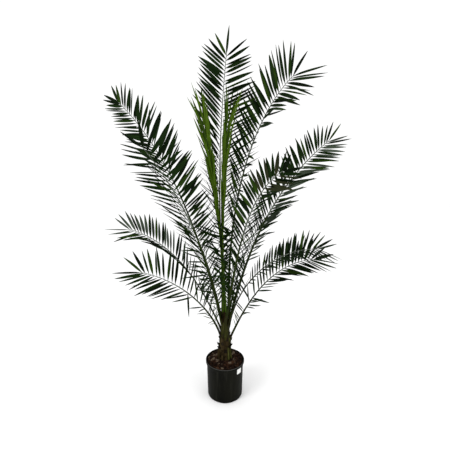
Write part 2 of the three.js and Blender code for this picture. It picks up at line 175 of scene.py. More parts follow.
def rampOf(tree, factor, stops):
    ramp = addNode(tree, "ShaderNodeValToRGB")
    elements = ramp.color_ramp.elements
    while len(elements) < len(stops):
        elements.new(0.5)
    for element, (place, colour) in zip(elements, stops):
        element.position = place
        element.color = (*colour, 1)
    tree.links.new(factor, ramp.inputs["Fac"])
    return ramp.outputs["Color"]


def mixColours(tree, factor, first, second):
    # sockets 6 and 7 take the node's two colours, and its colour leaves by 2
    node = addNode(tree, "ShaderNodeMix", data_type="RGBA", blend_type="MIX")
    sockets = (node.inputs["Factor"], node.inputs[6], node.inputs[7])
    for socket, value in zip(sockets, (factor, first, second)):
        if isinstance(value, tuple):
            socket.default_value = (*value, 1)
        else:
            tree.links.new(value, socket)
    return node.outputs[2]


def rangeOf(tree, factor, low, high, fromLow=0.0, fromHigh=1.0):
    node = addNode(tree, "ShaderNodeMapRange", {
        "From Min": fromLow, "From Max": fromHigh, "To Min": low, "To Max": high})
    tree.links.new(factor, node.inputs["Value"])
    return node.outputs["Result"]


def dress(material, body, roughness, height, strength, distance, specular):
    # one finish from its colour, its roughness and the relief that the height gives it
    tree = material.node_tree
    shader = tree.nodes["Principled BSDF"]
    tree.links.new(body, shader.inputs["Base Color"])
    tree.links.new(roughness, shader.inputs["Roughness"])
    bump = addNode(tree, "ShaderNodeBump", {"Strength": strength, "Distance": distance})
    tree.links.new(height, bump.inputs["Height"])
    tree.links.new(bump.outputs["Normal"], shader.inputs["Normal"])
    shader.inputs["Specular IOR Level"].default_value = specular
    return material


def leafMaterial(name, dark, light, gloss=0.55, specular=0.03):
    material, tree = startMaterial(name)
    patches = noiseOf(tree, 6, 3)
    body = rampOf(tree, patches, [(0.3, dark), (0.7, light)])
    # veins run the length of the leaflet
    veins = addNode(tree, "ShaderNodeMath", {1: 34.0}, operation="MULTIPLY")
    tree.links.new(readValue(tree, "across"), veins.inputs[0])
    waves = addNode(tree, "ShaderNodeMath", operation="SINE")
    tree.links.new(veins.outputs[0], waves.inputs[0])
    roughness = rangeOf(tree, patches, gloss - 0.06, gloss + 0.14)
    return dress(material, body, roughness, waves.outputs[0], 0.2, 0.0004, specular)


def stemMaterial(name, dark, light):
    material, tree = startMaterial(name)
    streaks = noiseOf(tree, 60, 4, (1, 1, 0.12))
    body = rampOf(tree, streaks, [(0.34, dark), (0.66, light)])
    return dress(material, body, rangeOf(tree, streaks, 0.42, 0.68), streaks, 0.35, 0.0008, 0.05)


def fibreMaterial(name, dark, mid, light):
    material, tree = startMaterial(name)
    strands = noiseOf(tree, 70, 6, (1, 1, 0.1), 0.65)
    patches = noiseOf(tree, 14, 3)
    body = rampOf(tree, strands, [(0.32, dark), (0.5, mid), (0.72, light)])
    body = mixColours(tree, rangeOf(tree, patches, 0.0, 0.7, 0.4, 0.7), body, dark)
    return dress(material, body, rangeOf(tree, strands, 0.8, 0.97), strands, 0.7, 0.002, 0.04)


def soilMaterial(name, dark, mid, light, scale=120):
    material, tree = startMaterial(name)
    grains = noiseOf(tree, scale, 8, (1, 1, 1), 0.7)
    patches = noiseOf(tree, 22, 3)
    body = rampOf(tree, grains, [(0.3, dark), (0.55, mid), (0.78, light)])
    body = mixColours(tree, rangeOf(tree, patches, 0.0, 0.8, 0.45, 0.7), body, dark)
    return dress(material, body, rangeOf(tree, grains, 0.75, 1.0), grains, 0.9, 0.003, 0.04)


def potMaterial():
    material, tree = startMaterial("potPlastic")
    smudges = noiseOf(tree, 11, 5, (1, 1, 0.5))
    dust = noiseOf(tree, 260, 2)
    scuffs = noiseOf(tree, 55, 4, (1, 1, 0.06))
    body = rampOf(tree, smudges, [(0.3, (0.0015, 0.0016, 0.001)), (0.75, (0.0070, 0.0070, 0.0045))])
    body = mixColours(tree, rangeOf(tree, dust, 0.0, 0.4, 0.62, 0.8), body, (0.03, 0.03, 0.024))
    body = mixColours(tree, rangeOf(tree, scuffs, 0.0, 0.6, 0.54, 0.77), body, (0.028, 0.028, 0.022))
    body = mixColours(tree, readValue(tree, "along"), body, (0.085, 0.085, 0.08))  # painted highlight on the lip's rolled edge
    return dress(material, body, rangeOf(tree, smudges, 0.36, 0.6), dust, 0.2, 0.0006, 0.03)


def tagMaterial():
    material, tree = startMaterial("tagPlastic")
    cloud = noiseOf(tree, 60, 3)
    body = rampOf(tree, cloud, [(0.3, (0.62, 0.62, 0.6)), (0.7, (0.8, 0.8, 0.78))])
    return dress(material, body, rangeOf(tree, cloud, 0.4, 0.6), cloud, 0.1, 0.0005, 0.5)


greens = {
    "deep": ((0.0015, 0.004, 0.001), (0.004, 0.010, 0.002)),
    "dark": ((0.003, 0.009, 0.0015), (0.009, 0.023, 0.004)),
    "mid": ((0.008, 0.022, 0.002), (0.022, 0.048, 0.004)),
    # painted sheen: these pale grey-greens stand for the shine on the leaflets
    "pale_sheen": ((0.020, 0.030, 0.018), (0.070, 0.090, 0.064)),
    "dry": ((0.007, 0.010, 0.003), (0.030, 0.033, 0.014)),
}
leafMaterials = [leafMaterial("leaf_" + key, *pair) for key, pair in greens.items()]
youngLeaf = leafMaterial("leaf_young", (0.027, 0.064, 0.001), (0.062, 0.115, 0.003), 0.5, 0.08)
youngDark = leafMaterial("leaf_young_dark", (0.008, 0.020, 0.001), (0.022, 0.048, 0.002), 0.5, 0.06)
stemMaterials = [
    stemMaterial("stem_foot", (0.004, 0.003, 0.001), (0.024, 0.026, 0.004)),
    stemMaterial("stem_low", (0.004, 0.008, 0.0005), (0.017, 0.027, 0.002)),
    stemMaterial("stem_middle", (0.005, 0.010, 0.001), (0.020, 0.032, 0.005)),
    # the palest, upper stem: partly the rib's own pale green, partly painted highlight along the rib
    stemMaterial("stem_high_painted_highlight", (0.040, 0.048, 0.034), (0.13, 0.15, 0.12)),
]
youngStem = stemMaterial("stem_young", (0.022, 0.050, 0.003), (0.060, 0.110, 0.008))
print("materials made")


# fronds, grown by the same rule as their solids, with the leaflets at their true number

trunkShape = {
    "centreY": 0.012,
    "profile": [(0.2623, 0.046), (0.275, 0.041), (0.300, 0.037), (0.345, 0.033), (0.386, 0.030),
                (0.415, 0.027), (0.440, 0.023), (0.470, 0.019), (0.500, 0.016), (0.540, 0.013),
                (0.585, 0.011)],  # height, radius
}


def trunkRadius(height):
    profile = trunkShape["profile"]
    for (low, lowRadius), (high, highRadius) in zip(profile, profile[1:]):
        if height <= high:
            return mix(lowRadius, highRadius, max(0, height - low) / (high - low))
    return profile[-1][1]


# Each frond's foot is a heading and a height on the trunk. It leans by lean, and by lean + arch at its
# tip. rolls turn the blade about its rib at its foot and tip, fold lifts its two rows and twists turn
# the leaflets of each row on themselves. opens is how far they turn from the rib, skews more on one
# side; step is from leaflet to leaflet, leaf is the longest and tip how long the last ones are beside
# it. slim is how narrow the lowest are and up to which share of the blade, slimRow a row that lies
# close along its rib, fan how near to the rib's tip its leaflets close in on it and how far, and stout
# how thick the rib is. hues says how its greens are dealt out, one row may be named to take the pale
# grey-greens, which are painted sheen, and past dryFrom the leaflets are drying.
oldHues, usualHues = (4, 4, 1, 0, 0), (3, 5, 2, 0, 0)
sheenHues, dryHues = (1, 2, 1, 4, 0), (2, 2, 0, 0, 5)
fronds = [
    dict(foot=(180, .432), heading=171, lean=20, arch=63, bend=.88, length=.69, rolls=(-50, -45),
         fold=10, twists=(0, 0), bare=.4, opens=(60, 60), skews=(-8, -8), step=.027, leaf=.225,
         tip=.85, width=.02, hues=oldHues),
    dict(foot=(0, .408), heading=14, lean=26, arch=69, bend=1.86, length=.8, rolls=(40, 40),
         fold=20, twists=(0, 0), bare=.42, opens=(45, 65), skews=(0, 0), step=.025, leaf=.18,
         tip=1, width=.023, hues=oldHues, slim=(.5, .7)),
    dict(foot=(158, .462), heading=167, lean=25, arch=56, bend=1.85, length=.93, rolls=(-11, -40),
         fold=19, twists=(0, 0), bare=.36, opens=(27, 66), skews=(-24, 12), step=.024, leaf=.216,
         tip=.76, width=.0195, hues=oldHues, sheenRow=-1),
    dict(foot=(118, .47), heading=118, lean=24, arch=50, bend=1.2, length=.8, rolls=(0, 0),
         fold=26, twists=(-50, 50), bare=.36, opens=(42, 62), skews=(0, 0), step=.028, leaf=.2,
         tip=.8, width=.02, hues=usualHues),
    dict(foot=(62, .48), heading=62, lean=22, arch=50, bend=1.2, length=.84, rolls=(0, 0),
         fold=26, twists=(-50, 50), bare=.36, opens=(42, 62), skews=(0, 0), step=.028, leaf=.205,
         tip=.8, width=.02, hues=usualHues),
    dict(foot=(10, .48), heading=12, lean=10, arch=87, bend=1.12, length=.855, rolls=(5, 31),
         fold=14, twists=(0, 0), bare=.36, opens=(60, 77), skews=(-10, -10), step=.022, leaf=.16,
         tip=1.2, width=.018, hues=oldHues),
    dict(foot=(205, .505), heading=206, lean=10, arch=28, bend=1.3, length=1.244, rolls=(-112, -101),
         fold=5, twists=(25, 60), bare=.3, opens=(30, 73), skews=(-12, -12), step=.031, leaf=.22,
         tip=.71, width=.024, hues=oldHues, slim=(.4, .85), stout=1.4),
    dict(foot=(-38, .505), heading=11, lean=14, arch=39, bend=1.7, length=1.354, rolls=(10, 55),
         fold=6, twists=(45, 0), bare=.32, opens=(60, 59), skews=(0, 0), step=.022, leaf=.272,
         tip=.53, width=.018, hues=usualHues, sheenRow=-1, stout=1.9),
    dict(foot=(170, .53), heading=153, lean=16.5, arch=35.4, bend=1.79, length=1.62, rolls=(-98, -90),
         fold=5, twists=(0, 34), bare=.3, opens=(50, 57), skews=(-26, -8), step=.025, leaf=.304,
         tip=.49, width=.025, hues=oldHues, slim=(.6, .55), slimRow=1, stout=1.4),
    dict(foot=(-80, .528), heading=-55, lean=13.7, arch=49.5, bend=3.15, length=1.145, rolls=(-6, -56),
         fold=24, twists=(0, 0), bare=.34, opens=(45, 71), skews=(14, 14), step=.026, leaf=.185,
         tip=.65, width=.028, hues=oldHues, dryFrom=.72, slim=(.35, .8), stout=1.5),
    dict(foot=(135, .552), heading=92, lean=14, arch=50, bend=1.8, length=1.25, rolls=(0, 0),
         fold=20, twists=(-40, 40), bare=.36, opens=(40, 64), skews=(0, 0), step=.028, leaf=.235,
         tip=.7, width=.016, hues=usualHues),
    dict(foot=(12, .556), heading=42, lean=0, arch=55.3, bend=1.63, length=1.717, rolls=(-7, 46),
         fold=36, twists=(0, 0), bare=.34, opens=(57, 88), skews=(-28, -28), step=.029, leaf=.245,
         tip=1.13, width=.026, hues=usualHues, slim=(.45, .75), stout=1.5),
    dict(foot=(72, .577), heading=168, lean=5.8, arch=-11.9, bend=1.03, length=1.572, rolls=(-85, -88),
         fold=3, twists=(45, 10), bare=.34, opens=(32, 62), skews=(-20, -2), step=.024, leaf=.31,
         tip=.5, width=.021, hues=usualHues, slim=(.3, .95), fan=(.02, .45), single=True),
]
youngFronds = [
    dict(offset=(-.010, -.002), heading=182, lean=0, arch=9.7, bend=.83, length=1.2, rolls=(-70, -70),
         bare=.42, opens=(3, 11), skews=(0, 4)),
    dict(offset=(.008, -.008), heading=190, lean=4, arch=-9, bend=1.1, length=1.2, rolls=(-70, -70),
         bare=.42, opens=(2, 10), skews=(0, -4)),
]
blade = {
    "turnFrom": 0.45,         # the share of the blade from which it turns to its last roll
    "fan": (0.050, 0.75),
    "slim": (0.6, 0.5),
    "slimmest": (0.12, 1.0),  # slim for a row that lies close along its rib
    "crowding": 0.12,         # how much wider apart than evenly at the foot, and closer at the tip
    "unevenness": 0.12,       # how far they stand off their places, in steps
    "foldSpread": 8,
    "openSpread": 4,
    "twistSpread": 20,
    "strays": 0.06,           # how many leaflets stand out of line, below strayTo, by strayBy as far
    "strayTo": 0.8,
    "strayBy": 4,
    "lengths": (0.86, 1.05),
    "widths": (0.72, 1.12),
    "droops": (-0.02, 0.06),
    "sweeps": (-0.04, 0.04),
    "creases": (18, 40),
}
# share of a leaflet's length, share of its width
leafOutline = [(0.0, 0.16), (0.04, 0.24), (0.09, 0.48), (0.16, 0.76), (0.25, 0.93), (0.36, 1.0),
               (0.50, 0.97), (0.64, 0.85), (0.77, 0.64), (0.88, 0.39), (0.96, 0.16)]
spine = {
    "step": 0.020,
    "from": 0.22,             # the share of the bare stem below the first spine
    "missing": 0.2,
    "opens": (46, 60),
    "openSpread": 14,
    "fold": 32,               # how far they stand up from the blade
    "foldSpread": 20,
    "lengths": (0.03, 0.2),   # from the lowest to the last
    "widths": (0.002, 0.014),
    "longer": (0.7, 1.15),    # how much each differs from its place's length and width
    "wider": (0.8, 1.2),
    "droops": (-0.04, 0.08),
    "sweep": 0.08,
    "crease": 40,
    "darkFrom": 0.5,          # the lower ones are paler
}
rib = {
    "width": 0.0175,
    "tipWidth": 0.0035,
    "taper": 0.6,
    "steps": 72,
    "sides": 12,
    "swelling": (0.25, 0.08),     # how much wider it is at its foot, and up to which share
    "turnOver": 0.1,              # the share over which it turns from level to its blade's roll
    "sheathDrop": 0.13,           # how far a leaf base runs down the trunk below its foot
    "sheathWidth": 0.034,
    "sheathSteps": 8,
    "paler": (0.03, 0.24, 0.55),  # the shares at which it takes the next paler green
    "youngScale": 0.8,
}
young = {
    "step": 0.024,
    "length": 0.25,
    "width": 0.013,
    "opensBy": (0.4, 1.4),
    "foldSpread": 35,
    "twistSpread": 30,
    "longer": (0.85, 1),
    "wider": (0.7, 1.2),
    "sweep": 0.02,
    "creases": (20, 40),
    "dark": 0.3,                  # how many of the last leaflets are darker
}
hanging = {
    "share": 0.5,
    "length": 0.175,
    "width": 0.014,
}


def stemLine(frond):
    # the rib's points from its foot, stepped by the lean at each step
    steps = rib["steps"]
    out = outward(frond["heading"])[0]
    if "foot" in frond:
        heading, height = frond["foot"]
        reach = trunkRadius(height) + rib["width"] * 0.56
        points = [turned(heading, reach, height, trunkShape["centreY"])]
    else:
        x, y = frond["offset"]
        points = [Vector((x, trunkShape["centreY"] + y, trunkBox[1].z))]
    step = frond["length"] / steps
    for i in range(steps):
        share = (i + 0.5) / steps
        lean = math.radians(frond["lean"] + frond["arch"] * share ** frond["bend"])
        points.append(points[-1] + step * (out * math.sin(lean) + Vector((0, 0, math.cos(lean)))))
    return points


def frameAt(frond, points, share):
    # origin, along the rib, across the blade and off its upper face
    steps = len(points) - 1
    place = min(max(share, 0.0), 1.0) * steps
    i = min(int(place), steps - 1)
    origin = points[i].lerp(points[i + 1], place - i)
    before, after = points[max(i - 1, 0)], points[min(i + 2, steps)]
    forward = (after - before).normalized()
    across = outward(frond["heading"])[1]
    across = (across - forward * across.dot(forward)).normalized()
    along = (share - frond["bare"]) / (1 - frond["bare"])
    roll = mix(*frond["rolls"], ease(along, blade["turnFrom"], 1))
    across = Matrix.Rotation(math.radians(roll), 3, forward) @ across
    return origin, forward, across, forward.cross(across)


def addLeaflet(builder, slot, root, way, flat, length, width, droop=0.0, sweep=0.0, crease=30.0):
    # a folded strip of two rows of faces, widest near a third of its length
    face = way.cross(flat).normalized()
    rows = []
    for share, wide in leafOutline:
        bow = Vector((0, 0, -1)) * (droop * length * share ** 2) + flat * (sweep * length * share ** 2)
        centre = root + way * (length * share) + bow
        half = width * wide / 2
        angle = math.radians(crease * (1 - 0.6 * share))
        lift = face * (half * math.sin(angle))
        side = flat * (half * math.cos(angle))
        rows.append([
            builder.point(centre + side + lift, share, 1.0),
            builder.point(centre, share, 0.0),
            builder.point(centre - side + lift, share, -1.0)])
    end = root + way * length + Vector((0, 0, -1)) * (droop * length) + flat * (sweep * length)
    tip = builder.point(end, 1.0, 0.0)
    for lower, upper in zip(rows, rows[1:]):
        builder.face((lower[0], lower[1], upper[1], upper[0]), slot)
        builder.face((lower[1], lower[2], upper[2], upper[1]), slot)
    builder.face((rows[-1][0], rows[-1][1], tip), slot)
    builder.face((rows[-1][1], rows[-1][2], tip), slot)


def leafShape(frond, share, fromTip, side):
    # length, opening from the rib and width, by share of the blade and by how far the rib's tip is
    swell = ease(share, 0, 0.4)
    length = frond["leaf"] * mix(0.6, 1, swell) * mix(1, frond["tip"], share ** 2)
    reach, closing = frond.get("fan", blade["fan"])
    closed = 1 - closing * math.exp(-fromTip / reach)
    opening = (mix(*frond["opens"], share) + mix(*frond["skews"], share) * side) * closed
    slim, until = frond.get("slim", blade["slim"])
    if side == frond.get("slimRow"):
        slim, until = blade["slimmest"]
    return length, opening, frond["width"] * mix(slim, 1, ease(share, 0, until))


def crowded(share):
    # where a leaflet stands on the blade, when they would stand evenly at these shares of it
    return share + blade["crowding"] * share * (1 - share)


def leafDirection(frond, points, along, side, opening, fold):
    origin, forward, across, off = frameAt(frond, points, along)
    lift = math.radians(fold)
    aside = across * (side * math.cos(lift)) + off * math.sin(lift) * abs(side)
    angle = math.radians(opening)
    way = (forward * math.cos(angle) + aside * math.sin(angle)).normalized()
    flatFrom = forward if side else across
    flat = (flatFrom - way * flatFrom.dot(way)).normalized()
    return origin, way, flat


def growLeaflets(frond, points, leaves, rng):
    bladeLength = frond["length"] * (1 - frond["bare"])
    pairs = round(bladeLength / frond["step"])
    for i in range(pairs):
        for side in (-1, 1):
            place = (i + 0.8 + side * 0.2 + spread(rng, blade["unevenness"])) / pairs
            share = crowded(min(1.0, place))
            length, opening, width = leafShape(frond, share, bladeLength * (1 - share), side)
            fold = frond["fold"] + spread(rng, blade["foldSpread"])
            wander = spread(rng, blade["openSpread"]) * min(1, (1 - share) * 8 + 0.3)
            if share < blade["strayTo"] and rng.random() < blade["strays"]:
                wander *= blade["strayBy"]
            origin, way, flat = leafDirection(frond, points, mix(frond["bare"], 0.997, share), side,
                                              opening + wander, fold)
            twist = math.radians(frond["twists"][side > 0] + spread(rng, blade["twistSpread"]))
            flat = Matrix.Rotation(twist, 3, way) @ flat
            # the named row takes the pale greens, which are painted sheen
            hues = sheenHues if side == frond.get("sheenRow") else frond["hues"]
            hues = dryHues if share > frond.get("dryFrom", 1) else hues
            slot = rng.choices(range(len(greens)), hues)[0]
            addLeaflet(leaves, slot, origin, way, flat, length * rng.uniform(*blade["lengths"]),
                       width * rng.uniform(*blade["widths"]), rng.uniform(*blade["droops"]),
                       rng.uniform(*blade["sweeps"]), rng.uniform(*blade["creases"]))
    if frond.get("single"):
        origin, way, flat = leafDirection(frond, points, 0.998, 0, 0, 0)
        addLeaflet(leaves, 1, origin, way, flat, frond["leaf"] * frond["tip"], frond["width"] * 0.7)


def growSpines(frond, points, spines, rng):
    count = round(frond["length"] * frond["bare"] / spine["step"])
    for i in range(count):
        share = i / count
        if share < spine["from"]:
            continue
        for side in (-1, 1):
            if rng.random() < spine["missing"]:
                continue
            along = frond["bare"] * (share + spread(rng, 0.4) / count)
            opening = mix(*spine["opens"], share) + spread(rng, spine["openSpread"])
            fold = frond["fold"] + spine["fold"] + spread(rng, spine["foldSpread"])
            origin, way, flat = leafDirection(frond, points, along, side, opening, fold)
            length = mix(*spine["lengths"], share) * rng.uniform(*spine["longer"])
            width = mix(*spine["widths"], share) * rng.uniform(*spine["wider"])
            droop, sweep = rng.uniform(*spine["droops"]), spread(rng, spine["sweep"])
            slot = int(share < spine["darkFrom"])
            addLeaflet(spines, slot, origin, way, flat, length, width, droop, sweep, spine["crease"])


def growYoungLeaflets(frond, points, leaves, rng):
    # leaflets still held close to the rib, darker towards its tip
    pairs = round(frond["length"] * (1 - frond["bare"]) / young["step"])
    for i in range(pairs):
        share = (i + 1) / pairs
        for side in (-1, 1):
            along = mix(frond["bare"], 0.995, min(1, (i + 0.75 + side * 0.2) / pairs))
            opening = mix(*frond["opens"], share) + mix(*frond["skews"], share) * side
            opening *= rng.uniform(*young["opensBy"])
            fold = spread(rng, young["foldSpread"])
            origin, way, flat = leafDirection(frond, points, along, side, opening, fold)
            turn = Matrix.Rotation(math.radians(spread(rng, young["twistSpread"])), 3, way)
            flat = turn @ frameAt(frond, points, along)[2]
            flat = (flat - way * flat.dot(way)).normalized()
            length = young["length"] * mix(0.7, 1, ease(share, 0, 0.3)) * rng.uniform(*young["longer"])
            slot = int(rng.random() < mix(0.0, young["dark"], share))
            width = young["width"] * rng.uniform(*young["wider"])
            sweep, crease = spread(rng, young["sweep"]), rng.uniform(*young["creases"])
            addLeaflet(leaves, slot, origin, way, flat, length, width, 0.0, sweep, crease)


def stemRing(origin, across, off, width, thick, channel):
    # a rounded section, flatter with a shallow channel on its upper face
    ring = []
    for i in range(rib["sides"]):
        angle = 2 * math.pi * i / rib["sides"]
        lift = math.sin(angle)
        height = lift * (thick * (1 - 0.35 * channel) if lift > 0 else thick)
        if lift > 0.9:
            height *= 1 - 0.5 * channel
        ring.append(origin + across * (math.cos(angle) * width) + off * height)
    return ring


def addSheathRows(rows, frond):
    # the leaf base lies down the trunk under the stem
    heading, height = frond["foot"]
    out, across = outward(heading)
    for i in range(rib["sheathSteps"]):
        share = i / rib["sheathSteps"]
        z = height - rib["sheathDrop"] * (1 - share)
        reach = trunkRadius(z) + mix(-0.001, 0.005, ease(share))
        origin = turned(heading, reach, z, trunkShape["centreY"])
        width = mix(rib["sheathWidth"], rib["width"] * 1.25, ease(share)) / 2
        ring = stemRing(origin, across, -out, width, mix(0.002, 0.0065, share), 0.3)
        rows.append((ring, -1 + share))


def addStem(builder, frond, points, scale=1.0, sheathed=True):
    rows = []
    if sheathed:
        addSheathRows(rows, frond)
    steps, turnOver = rib["steps"], rib["turnOver"]
    swelling, swollenTo = rib["swelling"]
    for i in range(1 if sheathed else 0, steps + 1):
        share = i / steps
        origin, forward, across, off = frameAt(frond, points, share)
        if sheathed and share < turnOver:  # the roll grows in over the first stretch
            level = frameAt(dict(frond, rolls=(0, 0)), points, share)[2]
            across = level.lerp(across, ease(share, 0, turnOver)).normalized()
            off = forward.cross(across)
        base = 1 + swelling * max(0, 1 - share / swollenTo)
        base += (frond.get("stout", 1) - 1) * ease(share, 0, 0.15) * (1 - share * share)
        width = mix(rib["width"], rib["tipWidth"], share ** rib["taper"]) * base * scale / 2
        ring = stemRing(origin, across, off, width, width * mix(0.75, 0.9, share), ease(1 - share))
        rows.append((ring, share))
    addTube(builder, rows, stemSlot if sheathed else None)


def stemSlot(share):
    # the stem pales from its foot to its tip, and its palest stretch is partly its own pale green,
    # partly painted highlight
    return sum(share > limit for limit in rib["paler"])


def growCrown():
    rng = random.Random(7)
    leaves, spines, stems = Builder(), Builder(), Builder()
    for frond in fronds:
        points = stemLine(frond)
        addStem(stems, frond, points)
        growLeaflets(frond, points, leaves, rng)
        growSpines(frond, points, spines, rng)
    # one dead leaflet hangs straight down from the lowest frond
    origin = frameAt(fronds[0], stemLine(fronds[0]), hanging["share"])[0]
    addLeaflet(leaves, 0, origin, Vector((0.02, 0, -1)).normalized(), Vector((1, 0, 0)),
               hanging["length"], hanging["width"])
    youngLeaves, youngStems = Builder(), Builder()
    for frond in youngFronds:
        points = stemLine(frond)
        addStem(youngStems, frond, points, rib["youngScale"], sheathed=False)
        growYoungLeaflets(frond, points, youngLeaves, rng)
    nodes = sorted(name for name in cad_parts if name.startswith("frond"))
    youngNodes = sorted(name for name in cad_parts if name.startswith("young"))
    made = [
        (leaves.make("frondLeaflets", leafMaterials), "frond", nodes),
        (spines.make("frondSpines", leafMaterials[1:3]), "frond", []),
        (stems.make("frondStems", stemMaterials), "frond", nodes),
        (youngLeaves.make("youngLeaflets", [youngLeaf, youngDark]), "young_frond", youngNodes),
        (youngStems.make("youngStems", [youngStem]), "young_frond", youngNodes),
    ]
    for piece, slotName, replaced in made:
        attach(piece, "root")
        if replaced:
            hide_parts(*replaced)
        print(piece.name, len(piece.data.polygons), "faces")


growCrown()
print("crown grown")


# trunk: matted fibre over old leaf bases

trunkLook = {
    "rings": 90,
    "sides": 72,
    "relief": 0.0035,
    "goldenTurn": 137.5,  # degrees from each leaf base to the next one up
    "thickness": 0.0015,
}
sheathLook = {
    "count": 26,
    "rise": 0.0085,       # from each one to the next
    "widths": (0.042, 0.026),
    "lengths": (0.05, 0.085),
    "lifts": (0.002, 0.0045),
    "loose": [(-30, 0.095, 1), (-58, 0.080, 1), (-84, 0.030, 0), (-112, 0.036, 0), (-146, 0.046, 0),
              (-175, 0.07, 0), (50, 0.07, 1), (120, 0.05, 0)],  # heading, length, material
    "looseWidth": 0.019,
    "looseLift": 0.010,
    "across": 8,
    "steps": 9,
}
stubLook = {
    "count": 14,
    "lowest": 0.282,
    "rise": 0.0105,
    "widths": (0.026, 0.017),
    "lengths": (0.018, 0.030),
    "depths": (0.008, 0.012),
    "leans": (12, 38),
    "side": [(0, 0.382, 60), (-8, 0.408, 56), (184, 0.350, 64), (204, 0.334, 70),
             (-24, 0.352, 66)],  # heading, height, lean
    "sideSize": (0.021, 0.024, 0.017),
    "steps": 5,
    "sides": 12,
}
fibreLook = {
    "count": 900,
    "highest": 0.56,
    "lengths": (0.012, 0.04),
    "widths": (0.0004, 0.001),
    "bend": 0.35,
}
fibreBrown = fibreMaterial("trunkFibre", (0.006, 0.0035, 0.0015), (0.024, 0.016, 0.006),
                           (0.075, 0.052, 0.022))
sheathBrown = fibreMaterial("sheathBrown", (0.008, 0.005, 0.002), (0.032, 0.022, 0.008),
                            (0.09, 0.066, 0.028))
sheathOlive = fibreMaterial("sheathOlive", (0.010, 0.011, 0.002), (0.038, 0.040, 0.008),
                            (0.095, 0.095, 0.030))
stubDark = fibreMaterial("stubDark", (0.002, 0.0015, 0.001), (0.008, 0.006, 0.004), (0.04, 0.03, 0.02))
strawFibre = fibreMaterial("strawFibre", (0.02, 0.014, 0.006), (0.06, 0.044, 0.02), (0.15, 0.11, 0.055))


def makeTrunkCore():
    builder = Builder()
    foot, top = trunkBox[0].z, trunkBox[1].z
    rows = []
    for i in range(trunkLook["rings"] + 1):
        z = mix(foot, top, i / trunkLook["rings"])
        radius = trunkRadius(z) - 0.002
        ring = []
        for j in range(trunkLook["sides"]):
            angle = 2 * math.pi * j / trunkLook["sides"]
            around = Vector((math.cos(angle) * 3, math.sin(angle) * 3, z * 9))
            ridge = noise.noise(around) + 0.6 * noise.noise(around * 3.1)
            r = radius + trunkLook["relief"] * ridge
            ring.append(Vector((r * math.cos(angle), trunkShape["centreY"] + r * math.sin(angle), z)))
        rows.append((ring, z))
    addTube(builder, rows)
    return builder.make("trunkCore", [fibreBrown])


def addSheath(builder, heading, foot, length, width, slot, lift, rng):
    # a strap that hugs the trunk, narrower and ragged at its top
    across, rows = sheathLook["across"], []
    for i in range(sheathLook["steps"] + 1):
        share = i / sheathLook["steps"]
        z = foot + length * share
        half = width * (1 - 0.35 * share) / 2
        ring = []
        for j in range(across + 1):
            place = j / across * 2 - 1
            r = trunkRadius(z) + 0.002 + lift * (1 - place * place) * (0.6 + 0.6 * share)
            r += 0.0012 * noise.noise(Vector((place * 3 + heading, z * 60, 1.3)))
            angle = math.degrees(place * half / max(r, 0.012))
            ragged = 0.012 * share ** 6 * rng.uniform(-1, 1)
            ring.append(turned(heading + angle, r, z + ragged, trunkShape["centreY"]))
        rows.append([builder.point(place, share, j / across) for j, place in enumerate(ring)])
    for lower, upper in zip(rows, rows[1:]):
        for j in range(across):
            builder.face((lower[j], lower[j + 1], upper[j + 1], upper[j]), slot)


def addStub(builder, heading, height, length, width, thick, lean, rng):
    # what is left of a cut stem: a flattened wedge with a slanted cut
    out, across = outward(heading)
    way = (out * math.sin(lean) + Vector((0, 0, math.cos(lean)))).normalized()
    off = way.cross(across)
    root = turned(heading, trunkRadius(height) - 0.002, height, trunkShape["centreY"])
    rows = []
    for i in range(stubLook["steps"] + 1):
        share = i / stubLook["steps"]
        half, deep = width * mix(1, 0.62, share) / 2, thick * mix(1, 0.7, share) / 2
        ring = []
        for j in range(stubLook["sides"]):
            angle = 2 * math.pi * j / stubLook["sides"]
            place = root + way * (length * share)
            place = place + across * (math.cos(angle) * half) + off * (math.sin(angle) * deep)
            place += way * (0.006 * share * math.sin(angle)) + out * (0.0012 * rng.uniform(-1, 1))
            ring.append(place)
        rows.append((ring, share))
    addTube(builder, rows)


def addFibre(builder, start, way, length, width, bendWay, slot):
    side = way.cross(bendWay).normalized() * width / 2
    rows = []
    for i in range(4):
        share = i / 3
        place = start + way * (length * share) + bendWay * (length * fibreLook["bend"] * share ** 2)
        thin = side * (1 - 0.75 * share)
        rows.append((builder.point(place - thin, share), builder.point(place + thin, share)))
    for lower, upper in zip(rows, rows[1:]):
        builder.face((lower[0], lower[1], upper[1], upper[0]), slot)


def growSheaths(builder, foot, rng):
    count = sheathLook["count"]
    for i in range(count):
        heading = i * trunkLook["goldenTurn"] + spread(rng, 12)
        z = foot + 0.004 + i * sheathLook["rise"]
        width = mix(*sheathLook["widths"], i / count) * rng.uniform(0.85, 1.15)
        length, slot = rng.uniform(*sheathLook["lengths"]), rng.choice((0, 0, 1))
        addSheath(builder, heading, z, length, width, slot, rng.uniform(*sheathLook["lifts"]), rng)
    width, lift = sheathLook["looseWidth"], sheathLook["looseLift"]
    for heading, length, slot in sheathLook["loose"]:
        addSheath(builder, heading, foot, length, width, slot, lift, rng)


def growStubs(builder, rng):
    count = stubLook["count"]
    for i in range(count):
        height = stubLook["lowest"] + i * stubLook["rise"]
        length, width = rng.uniform(*stubLook["lengths"]), mix(*stubLook["widths"], i / count)
        thick, lean = rng.uniform(*stubLook["depths"]), rng.uniform(*stubLook["leans"])
        heading = i * trunkLook["goldenTurn"]
        addStub(builder, heading, height, length, width, thick, math.radians(lean), rng)
    for heading, height, lean in stubLook["side"]:
        addStub(builder, heading, height, *stubLook["sideSize"], math.radians(lean), rng)


